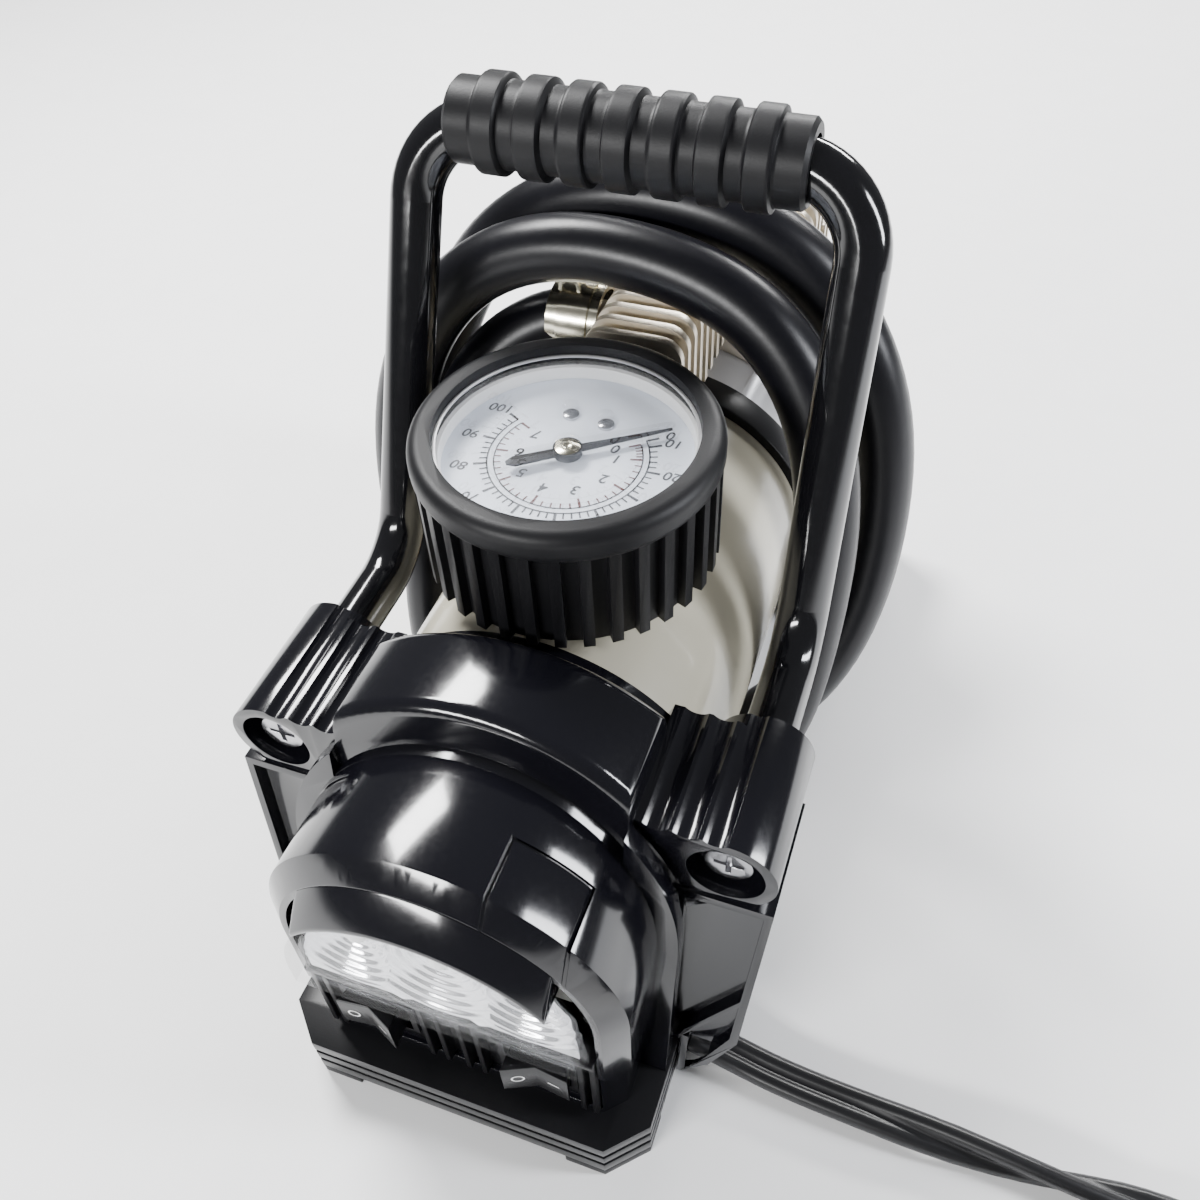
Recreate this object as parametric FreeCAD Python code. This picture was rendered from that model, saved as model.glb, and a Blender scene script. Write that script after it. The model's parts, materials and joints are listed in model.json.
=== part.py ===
import FreeCAD, Part
import math
import os
from FreeCAD import Vector as V

# Portable tire inflator, in millimetres.
# X is to the right, Y runs from the lamp end to the pump end, Z is up from the floor.
# Y is measured from the front edge of the base; save() moves it to the middle of the length.

# Driving dimensions
LENGTH = 204.0                  # base front edge to the back of the rear stand
AXIS_Z = 57.0                   # motor, crank and arched housings share this axis
BASE_HALF, BASE_CHAMFER = 41.0, 7.6
BASE_DEEP, BASE_TOP, FOOT_H = 66.0, 15.75, 3.0
WALL = 2.2
RIDGE_R, RIDGE_Y = 36.5, 10.0   # crest of the front bevel
MOUTH_R, MOUTH_Y = 32.3, 6.4    # inner edge of the front bevel
SHELL_R = 38.5                  # rear shell
FLANGE_R, FLANGE_T = 40.5, 3.6  # rim where the two shells meet
LEAN = 0.16                     # the parting line leans back this much per unit of height
SKIRT_Z = 37.0                  # the front shell steps inward below this height
HOOD_R, HOOD_HALF = 45.5, 29.0
HOOD_BACK = 2.4                 # the hood's face stands this far behind the parting line
BOSS_X, BOSS_Z, BOSS_R = 46.2, 74.9, 9.7
BOSS_Y0, BOSS_Y1 = 35.2, 64.7
MOTOR_R, MOTOR_Y0, MOTOR_Y1 = 36.5, 50.0, 142.0
SHAFT_R, FIT = 4.0, 0.05        # running fit of every turning part, on the radius
GAP = 0.3                       # between parts that move past each other
TUBE_R, TUBE_WALL = 5.25, 1.2
HANDLE_LOW = (46.2, 91.1, 74.9)
HANDLE_TOP = (44.0, 126.6, 161.35)
HANDLE_BEND = 16.0
GRIP_X0, GRIP_X1, GRIP_R, GRIP_RIB_R = -36.0, 33.0, 8.2, 9.4
GAUGE_X, GAUGE_Y, GAUGE_TOP = -1.0, 87.1, 125.6
GAUGE_BOOT_R, LIP_R, CASE_R = 29.9, 25.2, 26.4
BORE_Y, BORE_R = 186.0, 12.5    # cylinder
CRANK_R = 9.0                   # half of the piston's stroke
FIN_HALF, FIN_PITCH, FIN_T = 25.8, 4.4, 1.9
HEAD_TOP = 125.0
MANIFOLD_HALF, MANIFOLD_TOP = 11.0, 122.6
STAND_HALF, STAND_Y = 54.5, 164.6
HOSE_R = 7.0
COIL_LEAN = 0.31                # the hose coil leans back this much per unit of height
CORD_R = 4.0
PLUG_R = 10.5
ROCKER_X, ROCKER_Z, ROCKER_PIVOT_Y = 17.6, 30.5, 9.6
ROCKER_HALF_X, ROCKER_HALF_Z = 6.7, 5.0
ROCKER_TILT = 9.0               # each rocker rests with its inner end out by this angle
ROCKER_PIN_R = 0.85
CASE_Y0, CASE_R_OUT = 150.0, 31.0    # crankcase
CHAMBER_R = 25.0                # space that the crank turns in
DECK_Z = 83.5                   # flat seat of the cylinder
MANIFOLD_Y0, MANIFOLD_Y1 = 121.5, 170.9
PORT_Y, PORT_Z, BARB_R = 140.0, 112.0, 4.6
PIPE_Z, DIAL_Z = 96.6, 118.0
CASE_TOP, LENS_T = 121.0, 2.0
ZERO_ANGLE = 35.0               # needle at rest, turned from +X
NEEDLE_TIP, NEEDLE_TAIL, HUB_R = 20.7, 12.0, 2.8
COIL_Y, COIL_REF_Z = 129.0, 77.0    # hose coil's middle, at this height
HOSE_LEAD_X = -31.0
HOSE_TAIL = [(-58.6, 139.7, 64.0), (-58.0, 141.5, 50.0), (-58.0, 141.5, 38.0)]
CHUCK_X, CHUCK_Y, CHUCK_TOP, CHUCK_END = -58.0, 141.5, 37.98, 4.0
VALVE_R, VALVE_DEEP = 4.0, 12.0
LEVER_Y, LEVER_Z = 152.6, 16.0
CORD_Y, CORD_Z = 32.0, 7.6
CORD_COIL = (163.0, -36.0)
CORD_COIL_OUT, CORD_COIL_IN, CORD_COIL_H = 56.0, 32.0, 31.1
CORD_ROUTE = [(42.6, 32.0, 7.6), (52.0, 31.6, 5.0), (64.0, 30.0, 4.2), (86.0, 28.9, 4.2),
              (116.0, 28.2, 4.2), (144.0, 29.6, 4.2), (166.0, 25.0, 4.2), (182.0, 14.0, 4.2)]
PLUG_X, PLUG_Y = 164.0, -80.0   # back of the plug's barrel, which points to -X, and its axis
PLUG_Z = 0.2 + CORD_COIL_H + PLUG_R + 1.2
PLUG_LONG = 46.0
TIP_R = 3.6


def box(x0, x1, y0, y1, z0, z1):
    return Part.makeBox(x1 - x0, y1 - y0, z1 - z0, V(x0, y0, z0))


def cyl(r, start, direction, length):
    return Part.makeCylinder(r, length, V(*start), V(*direction))


def ring(r_out, r_in, start, direction, length):
    return cyl(r_out, start, direction, length).cut(cyl(r_in, start, direction, length))


def along_y(r, x, z, y0, y1):
    return cyl(r, (x, y0, z), (0, 1, 0), y1 - y0)


def ring_y(r_out, r_in, x, z, y0, y1):
    return along_y(r_out, x, z, y0, y1).cut(along_y(r_in, x, z, y0, y1))


def prism_xz(points, y0, y1):
    wire = Part.makePolygon([V(x, y0, z) for x, z in points + points[:1]])
    return Part.Face(wire).extrude(V(0, y1 - y0, 0))


def prism_xy(points, z0, z1):
    wire = Part.makePolygon([V(x, y, z0) for x, y in points + points[:1]])
    return Part.Face(wire).extrude(V(0, 0, z1 - z0))


def prism_yz(points, x0, x1):
    wire = Part.makePolygon([V(x0, y, z) for y, z in points + points[:1]])
    return Part.Face(wire).extrude(V(x1 - x0, 0, 0))


def mirrored(shape):
    return shape.mirror(V(0, 0, 0), V(1, 0, 0))


def both(shape):
    return shape.fuse(mirrored(shape))


def fuse(shapes):
    return shapes[0].multiFuse(shapes[1:]).removeSplitter()


def arch_wire(half, centre_z, foot_z, y):
    left, right = V(-half, y, centre_z), V(half, y, centre_z)
    top = Part.Arc(left, V(0, y, centre_z + half), right).toShape()
    return Part.Wire([
        Part.makeLine(V(-half, y, foot_z), left), top,
        Part.makeLine(right, V(half, y, foot_z)),
        Part.makeLine(V(half, y, foot_z), V(-half, y, foot_z)),
    ])


def arch(half, centre_z, foot_z, y0, y1):
    return Part.Face(arch_wire(half, centre_z, foot_z, y0)).extrude(V(0, y1 - y0, 0))


def arch_loft(first, second):
    return Part.makeLoft([arch_wire(*first), arch_wire(*second)], True, True)


def parting_y(z):
    return 20.0 + LEAN * (z - 21.0)


def behind(offset):
    low, high, far = -10.0, 200.0, 300.0
    return prism_yz([(parting_y(low) + offset, low), (parting_y(high) + offset, high),
                     (far, high), (far, low)], -100.0, 100.0)


def rounded(shape, radius, chosen):
    """Fillet the edges that chosen(edge) picks."""
    edges = [e for e in shape.Edges if chosen(e)]
    return shape.makeFillet(radius, edges)


def runs_and_arcs(points, radii):
    """Straight runs joined by tangent arcs, one radius per inner point."""
    pts = [V(*p) for p in points]
    edges, start = [], pts[0]
    for before, corner, after, radius in zip(pts, pts[1:], pts[2:], radii):
        into, out = (corner - before).normalize(), (after - corner).normalize()
        turn = into.getAngle(out)
        cut = radius * math.tan(turn / 2)
        first, last = corner - into * cut, corner + out * cut
        middle = corner + (out - into).normalize() * (radius / math.cos(turn / 2) - radius)
        edges += [Part.LineSegment(start, first).toShape(), Part.Arc(first, middle, last).toShape()]
        start = last
    edges.append(Part.LineSegment(start, pts[-1]).toShape())
    return Part.Wire(edges)


def pipe(points, radii, r):
    path = runs_and_arcs(points, radii)
    start, second = V(*points[0]), V(*points[1])
    profile = Part.Wire([Part.makeCircle(r, start, second - start)])
    solid = path.makePipeShell([profile], True, True)
    expected = math.pi * r * r * path.Length
    assert abs(solid.Volume - expected) < 0.01 * expected, "pipe volume is off"
    return solid


def cord_pipe(name, points, r):
    """A free cord: every arc is as large as its two runs allow."""
    pts, radii = [V(*p) for p in points], []
    for before, corner, after in zip(pts, pts[1:], pts[2:]):
        turn = (corner - before).getAngle(after - corner)
        shorter = min((corner - before).Length, (after - corner).Length)
        radii.append(0.45 * shorter / math.tan(turn / 2))
    print(name, "arc radii:", [round(value, 1) for value in radii])
    return pipe(points, radii, r)


def save(name, shape):
    moved = shape.copy()
    moved.translate(V(0, -LENGTH / 2, 0))
    if not moved.isValid():
        print("INVALID", name)
    moved.exportStep("parts/" + name + ".step")


# Front housing

def base_outline(inset):
    w, c = BASE_HALF - inset, BASE_CHAMFER - 0.4 * inset
    front, back = inset, BASE_DEEP - inset
    return [(-w + c, front), (w - c, front), (w, front + c), (w, back - 4), (w - 4, back),
            (-w + 4, back), (-w, back - 4), (-w, front + c)]


def base_tray():
    groove_depth, groove_h = 1.3, 1.5
    tray = prism_xy(base_outline(0), FOOT_H, BASE_TOP)
    for z in (6.4, 10.8):
        tray = tray.cut(prism_xy(base_outline(0), z, z + groove_h)
                        .cut(prism_xy(base_outline(groove_depth), z, z + groove_h)))
    tray = tray.cut(prism_xy(base_outline(3.2), FOOT_H + WALL, BASE_TOP - 2.4))
    tray = tray.cut(box(-32.4, 32.4, 9.6, 61.0, BASE_TOP - 2.5, BASE_TOP + 1))
    for x in (-27.0, 27.0):
        for y in (15.0, 56.0):
            tray = tray.fuse(cyl(3.6, (x, y, FOOT_H + WALL - 0.2), (0, 0, 1), 8.0))
            tray = tray.cut(cyl(1.55, (x, y, FOOT_H), (0, 0, 1), 20.0))
            tray = tray.cut(cyl(2.9, (x, y, FOOT_H), (0, 0, 1), 1.6))
    return tray.cut(cyl(4.6, (BASE_HALF - 6, CORD_Y, CORD_Z), (1, 0, 0), 8.0))


def rubber_feet():
    front = prism_xy(base_outline(0), 0.0, FOOT_H).common(both(box(24.4, 42, -1, 15, -1, FOOT_H)))
    rear = both(box(STAND_HALF - 15, STAND_HALF - 1, STAND_Y + 6, LENGTH - 6, 0, FOOT_H))
    return front.fuse(rear)


def base_screws():
    parts = []
    for x in (-27.0, 27.0):
        for y in (15.0, 56.0):
            head = cyl(2.8, (x, y, FOOT_H + 0.1), (0, 0, 1), 1.4)
            parts.append(head.fuse(cyl(1.5, (x, y, FOOT_H + 0.2), (0, 0, 1), 12.0)))
    return Part.makeCompound(parts)


def front_shell():
    deep = 40.0
    upper = arch(RIDGE_R, AXIS_Z, SKIRT_Z, RIDGE_Y, deep)
    bevel = arch_loft((MOUTH_R, AXIS_Z, SKIRT_Z, MOUTH_Y), (RIDGE_R, AXIS_Z, SKIRT_Z, RIDGE_Y))
    w, y = 35.0, 7.2
    lower = prism_xy([(-w + 4, y), (w - 4, y), (w, y + 4), (w, deep), (-w, deep), (-w, y + 4)],
                     BASE_TOP, SKIRT_Z + 8)
    shell = fuse([upper, bevel, lower])
    shell = shell.cut(arch(MOUTH_R - 1.4, AXIS_Z, BASE_TOP + 2.0, 0, 12))
    shell = shell.cut(arch(RIDGE_R - WALL, AXIS_Z, SKIRT_Z, 11, deep + 1))
    shell = shell.cut(box(-w + WALL, w - WALL, 11, deep + 1, BASE_TOP - 1, SKIRT_Z + 8))
    shell = shell.cut(panel_groove())
    return shell.cut(behind(-0.02))


def panel_groove():
    """The outline of the raised panel on the right of the arch, and the seam on its left."""
    half_w, depth = 0.35, 0.6
    x0, x1, y1 = 12.4, 26.3, 21.7
    lines = fuse([box(x0 - half_w, x0 + half_w, 0, y1, 60, 110),
                  box(x1 - half_w, x1 + half_w, 0, y1, 60, 110),
                  box(x0 - half_w, x1 + half_w, y1 - half_w, y1 + half_w, 60, 110),
                  box(-36, -23.5, 26.2, 27.4, 70, 110),
                  box(-34, -32.0, 12.4, 27.4, 60, 110)])
    core = arch(RIDGE_R - depth, AXIS_Z, 0, RIDGE_Y - 0.2, 60)
    core = core.fuse(arch_loft((MOUTH_R - depth, AXIS_Z, 0, MOUTH_Y - 0.2),
                               (RIDGE_R - depth, AXIS_Z, 0, RIDGE_Y - 0.2)))
    return lines.cut(core)


def wing_outline(inset):
    return [(37.5 + inset, 66 - inset), (56 - inset, 66 - inset), (53.4 - inset, 21 + inset * 0.6),
            (48 - inset * 0.7, 9.5 + inset), (42 + inset, 3.6 + inset), (41.4 + inset, 3.6 + inset),
            (41.4 + inset, BASE_TOP + 0.3 + inset), (37.5 + inset, BASE_TOP + 0.3 + inset)]


def wing():
    """The bracket under each handle boss: a framed pocket in front, open behind."""
    y0, y1 = 24.0, 60.0
    solid = prism_xz(wing_outline(0), y0, y1).common(behind(7.4))
    pocket = prism_xz(wing_outline(1.7), y0, y1).common(behind(7.3)).cut(behind(10.6))
    slope = (35.0 - 15.0) / (53.0 - 40.0)
    rib = prism_xz([(38, 12.0), (38, 14.0), (56, 14.0 + 18 * slope), (56, 12.0 + 18 * slope)], y0, y1)
    solid = solid.cut(pocket.cut(rib))
    return solid.cut(prism_xz(wing_outline(2.0), y0, y1 + 1).common(behind(12.8)))


def boss_and_web():
    boss = along_y(BOSS_R, BOSS_X, BOSS_Z, BOSS_Y0, BOSS_Y1)
    web = prism_xz([(26, 78), (28.5, 84.8), (BOSS_X, BOSS_Z + BOSS_R), (BOSS_X, BOSS_Z - BOSS_R),
                    (38.3, 58), (30, 66)], BOSS_Y0, BOSS_Y1 - 3)
    solid = boss.fuse(web)
    for x in (33.0, 38.5, 44.0):
        solid = solid.cut(along_y(3.2, x, 86.9, 30, 70))
    return solid


def hood():
    solid = along_y(HOOD_R, 0, AXIS_Z, 25, 54.5)
    solid = solid.common(box(-HOOD_HALF, HOOD_HALF, 20, 60, 70, 120)).common(behind(HOOD_BACK))
    top = AXIS_Z + math.sqrt(HOOD_R ** 2 - HOOD_HALF ** 2)
    return rounded(solid, 3.0, lambda e: e.BoundBox.ZMin > top - 1)


def rear_shell():
    main = arch(SHELL_R, AXIS_Z, BASE_TOP, 15, 60).common(behind(0))
    flange = arch(FLANGE_R, AXIS_Z, BASE_TOP, 15, 60).common(behind(0)).cut(behind(FLANGE_T))
    shell = fuse([main, flange, hood(), both(boss_and_web()), both(wing())])
    hood_foot = ring_y(HOOD_R, RIDGE_R, 0, AXIS_Z, 15, 50)
    hood_foot = hood_foot.common(box(-HOOD_HALF, HOOD_HALF, 15, 50, 70, 120))
    shell = shell.cut(hood_foot.cut(behind(HOOD_BACK)))
    inner = MOTOR_R + 0.1
    shell = shell.cut(arch(RIDGE_R - WALL, AXIS_Z, BASE_TOP - 1, 10, 49))
    shell = shell.cut(along_y(inner, 0, AXIS_Z, 48.9, BOSS_Y1 + 1))
    shell = shell.cut(box(-24, 24, 10, 61, BASE_TOP - 1, 26))
    hole = along_y(TUBE_R + 0.1, BOSS_X, BOSS_Z, 47, 70)
    hole = hole.fuse(along_y(7.4, BOSS_X, BOSS_Z, 30, 40.4)).fuse(along_y(2.7, BOSS_X, BOSS_Z, 30, 60))
    shell = shell.cut(both(hole))
    cord_slot = box(40.5, 52, CORD_Y - 5.5, CORD_Y + 5.5, 0, CORD_Z + 5.5)
    return shell.cut(cord_slot)


def handle_screws():
    head = along_y(4.6, BOSS_X, BOSS_Z, 37.4, 40.3)
    cross = fuse([box(BOSS_X - 2.8, BOSS_X + 2.8, 37, 38.9, BOSS_Z - 0.5, BOSS_Z + 0.5),
                  box(BOSS_X - 0.5, BOSS_X + 0.5, 37, 38.9, BOSS_Z - 2.8, BOSS_Z + 2.8)])
    return both(head.cut(cross).fuse(along_y(2.5, BOSS_X, BOSS_Z, 40.2, 58)))


# Lamp and switches

def lamp_brow():
    outer = arch_loft((31.9, 51.0, 40.0, 1.2), (MOUTH_R - 0.1, AXIS_Z, 40.0, MOUTH_Y))
    outer = outer.fuse(arch(MOUTH_R - 1.6, AXIS_Z, 40, MOUTH_Y - 0.2, 11))
    inner = arch(30.6, 51.4, 0, 0, 20)
    return outer.cut(inner).common(box(-24.5, 24.5, 0, 20, 68, 100))


def lens_outline(shrink, y0, y1):
    body = arch(30.3 - shrink, 51.4, 45.6 + shrink, y0, y1)
    return body


def lamp_lens():
    face = lens_outline(0, 2.0, 4.2)
    skirt = lens_outline(0, 4.0, 9.0).cut(lens_outline(1.6, 3.0, 10.0))
    return face.fuse(skirt)


def lamp_reflector():
    """Three shallow dishes side by side in one plated tray."""
    tray = lens_outline(1.8, 5.0, 13.0)
    for x, r in ((0.0, 15.5), (-17.5, 11.0), (17.5, 11.0)):
        dish = Part.makeCone(r, 3.6, 6.0, V(x, 4.99, 62.0), V(0, 1, 0))
        tray = tray.cut(dish)
    return tray.cut(along_y(3.6, 0, 62, 4, 14)).cut(both(along_y(3.0, 17.5, 62, 4, 14)))


def lamp_led_board():
    board = box(-24, 24, 13.2, 14.8, 52, 72)
    chips = fuse([box(x - 1.8, x + 1.8, 11.6, 13.3, 60.2, 63.8) for x in (-17.5, 0.0, 17.5)])
    return board.fuse(chips)


def switch_panel():
    panel = box(-30.6, 30.6, 8.4, 10.8, BASE_TOP + 2.2, 45.2)
    for x in (-30.0, -27.4, -6.6, -3.0, 1.8, 5.4, 27.4, 30.0):
        panel = panel.fuse(box(x - 0.6, x + 0.6, 5.8, 8.5, BASE_TOP + 2.2, 45.0))
    panel = panel.fuse(box(-30.6, 30.6, 5.0, 8.5, 43.6, 45.2))
    window = box(ROCKER_X - 8.6, ROCKER_X + 8.6, 0, 20, ROCKER_Z - 6.2, ROCKER_Z + 6.2)
    return panel.cut(both(window))


def switch_body(side):
    x = side * ROCKER_X
    body = box(x - 8.4, x + 8.4, 7.0, 22.0, ROCKER_Z - 6.0, ROCKER_Z + 6.0)
    cavity = box(x - ROCKER_HALF_X - 0.3, x + ROCKER_HALF_X + 0.3, 0, 13.0,
                 ROCKER_Z - ROCKER_HALF_Z - 0.3, ROCKER_Z + ROCKER_HALF_Z + 0.3)
    body = body.cut(cavity)
    for lug in (-4.5, 0.0, 4.5):
        body = body.fuse(box(x + lug - 0.4, x + lug + 0.4, 21.9, 27.0, ROCKER_Z - 2.4, ROCKER_Z + 2.4))
    pin_half = ROCKER_HALF_Z + 0.6
    pin = cyl(ROCKER_PIN_R, (x, ROCKER_PIVOT_Y, ROCKER_Z - pin_half), (0, 0, 1), 2 * pin_half)
    return body.fuse(pin)


def switch_rocker(side):
    """A see-saw actuator with a dished face, tilted about its middle."""
    x, y, half = side * ROCKER_X, ROCKER_PIVOT_Y, ROCKER_HALF_X
    front, dish, back_taper = 3.0, 1.8, 1.4
    outline = [(x - half, front), (x, front + dish), (x + half, front),
               (x + half - back_taper, y + 0.8), (x, y + 2.6), (x - half + back_taper, y + 0.8)]
    body = prism_xy(outline, ROCKER_Z - ROCKER_HALF_Z, ROCKER_Z + ROCKER_HALF_Z)
    body = body.cut(cyl(ROCKER_PIN_R + FIT, (x, y, ROCKER_Z - 6), (0, 0, 1), 12))
    return body.rotate(V(x, y, 0), V(0, 0, 1), side * ROCKER_TILT)


# Handle

def handle_points(sign):
    return [(sign * BOSS_X, 47.5, BOSS_Z), (sign * HANDLE_LOW[0], HANDLE_LOW[1], HANDLE_LOW[2]),
            (sign * HANDLE_TOP[0], HANDLE_TOP[1], HANDLE_TOP[2])]


def handle_tube():
    route = handle_points(-1) + handle_points(1)[::-1]
    bends = [HANDLE_BEND] * 4
    tube = pipe(route, bends, TUBE_R).cut(pipe(route, bends, TUBE_R - TUBE_WALL))
    end = along_y(TUBE_R - TUBE_WALL + 0.1, BOSS_X, BOSS_Z, 47.5, 60).cut(
        along_y(2.55, BOSS_X, BOSS_Z, 47, 61))
    return tube.fuse(both(end))


def handle_grip():
    y, z = HANDLE_TOP[1], HANDLE_TOP[2]
    grip = cyl(GRIP_R, (GRIP_X0, y, z), (1, 0, 0), GRIP_X1 - GRIP_X0)
    ribs, rib_w = 7, 4.6
    step = (GRIP_X1 - GRIP_X0) / (ribs + 1.0)
    for i in range(ribs):
        x = GRIP_X0 + step * (i + 1) - rib_w / 2
        grip = grip.fuse(cyl(GRIP_RIB_R, (x, y, z), (1, 0, 0), rib_w))
    route = handle_points(-1) + handle_points(1)[::-1]
    return grip.cut(pipe(route, [HANDLE_BEND] * 4, TUBE_R + 0.05))


# Motor

def motor_housing():
    shell = ring_y(MOTOR_R, MOTOR_R - 2.0, 0, AXIS_Z, MOTOR_Y0, MOTOR_Y1)
    return shell.cut(cyl(3.2, (GAUGE_X, GAUGE_Y, AXIS_Z + 30), (0, 0, 1), 20))


def motor_magnets():
    band = ring_y(MOTOR_R - 2.05, 28.6, 0, AXIS_Z, 72, 122)
    return band.cut(box(-12, 12, 60, 130, AXIS_Z - 60, AXIS_Z + 60))


def brush_plate():
    plate = along_y(MOTOR_R - 2.05, 0, AXIS_Z, 50.4, 55.0)
    plate = plate.fuse(along_y(8.0, 0, AXIS_Z, 46, 50.5))
    plate = plate.cut(along_y(6.0, 0, AXIS_Z, 40, 60))
    for side in (-1, 1):
        x0, x1 = sorted((side * 9.6, side * 22.0))
        holder = box(x0, x1, 54.9, 63.4, AXIS_Z - 4.4, AXIS_Z + 4.4)
        plate = plate.fuse(holder.cut(box(x0 - 1, x1 + 1, 56.0, 62.2, AXIS_Z - 3.2, AXIS_Z + 3.2)))
    return plate


def carbon_brushes():
    brush = box(9.05, 19.0, 56.1, 62.1, AXIS_Z - 3.1, AXIS_Z + 3.1)
    return both(brush.cut(along_y(9.0 + FIT, 0, AXIS_Z, 50, 70)))


def shaft_bushes():
    front = ring_y(5.95, SHAFT_R + FIT, 0, AXIS_Z, 46.2, 54.8)
    rear = ring_y(7.0, SHAFT_R + FIT, 0, AXIS_Z, 142.4, 152.0)
    return Part.makeCompound([front, rear])


def motor_rear_cap():
    cap = along_y(38.6, 0, AXIS_Z, MOTOR_Y1, MOTOR_Y1 + 8)
    cap = cap.fuse(along_y(MOTOR_R - 2.05, 0, AXIS_Z, MOTOR_Y1 - 4, MOTOR_Y1 + 0.5))
    cap = cap.cut(along_y(31.5, 0, AXIS_Z, MOTOR_Y1 - 5, MOTOR_Y1 + 4))
    cap = cap.cut(along_y(7.05, 0, AXIS_Z, MOTOR_Y1 - 6, MOTOR_Y1 + 20))
    for i in range(8):
        angle = math.radians(22.5 + 45 * i)
        x, z = 20 * math.sin(angle), AXIS_Z + 20 * math.cos(angle)
        cap = cap.cut(along_y(3.4, x, z, MOTOR_Y1, MOTOR_Y1 + 9))
    return cap


def motor_shaft():
    return along_y(SHAFT_R, 0, AXIS_Z, 45.4, 178.0)


def armature_core():
    core = along_y(27.6, 0, AXIS_Z, 77, 117).cut(along_y(SHAFT_R, 0, AXIS_Z, 70, 120))
    for i in range(5):
        angle = math.radians(72 * i)
        mouth = box(-1.4, 1.4, 76, 118, AXIS_Z + 22, AXIS_Z + 29)
        slot = along_y(6.0, 0, AXIS_Z + 17.5, 76, 118).fuse(mouth)
        core = core.cut(slot.rotate(V(0, 0, AXIS_Z), V(0, 1, 0), math.degrees(angle)))
    return core


def armature_windings():
    coils = []
    for i in range(5):
        coil = along_y(5.4, 0, AXIS_Z + 17.5, 71, 123)
        coils.append(coil.rotate(V(0, 0, AXIS_Z), V(0, 1, 0), 72 * i))
    ends = [ring_y(23.8, 10.5, 0, AXIS_Z, 71, 76.8), ring_y(23.8, 10.5, 0, AXIS_Z, 117.2, 123)]
    return fuse(coils + ends)


def commutator():
    drum = ring_y(9.0, SHAFT_R, 0, AXIS_Z, 55.6, 68)
    for i in range(10):
        slot = box(-0.3, 0.3, 55, 69, AXIS_Z + 8.2, AXIS_Z + 10)
        drum = drum.cut(slot.rotate(V(0, 0, AXIS_Z), V(0, 1, 0), 36 * i))
    return drum


def cooling_fan():
    hub = ring_y(9.0, SHAFT_R, 0, AXIS_Z, 126, 136)
    blades = [hub]
    for i in range(9):
        blade = box(-0.8, 0.8, 127, 135, AXIS_Z + 8, AXIS_Z + 29)
        blades.append(blade.rotate(V(0, 0, AXIS_Z), V(0, 1, 0), 40 * i))
    return fuse(blades)


# Pump

def cylinder_room():
    return box(-40, 40, 170.9, LENGTH, DECK_Z, 100)


def crankcase():
    """Round case around the crank, with a flat deck for the cylinder and an open back."""
    case = along_y(CASE_R_OUT, 0, AXIS_Z, CASE_Y0 + 0.02, LENGTH - 6)
    case = case.fuse(box(-21, 21, 169, LENGTH - 6, AXIS_Z, DECK_Z))
    case = case.cut(along_y(CHAMBER_R, 0, AXIS_Z, 168, LENGTH)).cut(cylinder_room())
    case = case.cut(cyl(BORE_R + 0.5, (0, BORE_Y, AXIS_Z), (0, 0, 1), 40))
    case = case.cut(along_y(SHAFT_R + 1.5, 0, AXIS_Z, CASE_Y0 - 1, LENGTH))
    return case.cut(along_y(7.02, 0, AXIS_Z, CASE_Y0 - 1, 153))


def crankcase_cover():
    cover = along_y(30.0, 0, AXIS_Z, LENGTH - 5.98, LENGTH - 3.0)
    cover = cover.fuse(along_y(CHAMBER_R - 0.2, 0, AXIS_Z, LENGTH - 8, LENGTH - 5.9))
    cover = cover.cut(along_y(22.5, 0, AXIS_Z, LENGTH - 9, LENGTH - 6)).cut(cylinder_room())
    for i in range(4):
        angle = math.radians(45 + 90 * i)
        x, z = 28.0 * math.sin(angle), AXIS_Z + 28.0 * math.cos(angle)
        cover = cover.fuse(along_y(1.9, x, z, LENGTH - 3.1, LENGTH - 1.6))
    return cover


def crank_disc():
    disc = along_y(22.0, 0, AXIS_Z, 169, 178).cut(along_y(SHAFT_R, 0, AXIS_Z, 160, 180))
    light = fuse([along_y(5.0, x, AXIS_Z - 9.0, 160, 190) for x in (-12.5, 12.5)])
    return disc.cut(light).fuse(along_y(5.0, 0, AXIS_Z - CRANK_R, 177.9, BORE_Y - 5 - GAP))


def piston_rod():
    """Rod and piston in one, as in a wobble-piston pump."""
    y0, y1 = BORE_Y - 5.0, BORE_Y + 5.0
    eye_z = AXIS_Z - CRANK_R
    rod = prism_xz([(-6.5, eye_z + 6), (6.5, eye_z + 6), (4.0, 84), (-4.0, 84)], y0 + 1, y1 - 1)
    rod = rod.fuse(along_y(11.0, 0, eye_z, y0, y1))
    rod = rod.fuse(cyl(8.5, (0, BORE_Y, 83.0), (0, 0, 1), 4.0))
    rod = rod.fuse(cyl(BORE_R - 1.0, (0, BORE_Y, 86.9), (0, 0, 1), 4.0))
    return rod.cut(along_y(8.0, 0, eye_z, y0 - 1, y1 + 1))


def rod_bearing():
    return ring_y(8.0, 5.1, 0, AXIS_Z - CRANK_R, BORE_Y - 4.6, BORE_Y + 4.6)


def piston_seal():
    return ring(BORE_R - FIT, BORE_R - 1.0, (0, BORE_Y, 87.4), (0, 0, 1), 3.2)


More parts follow.
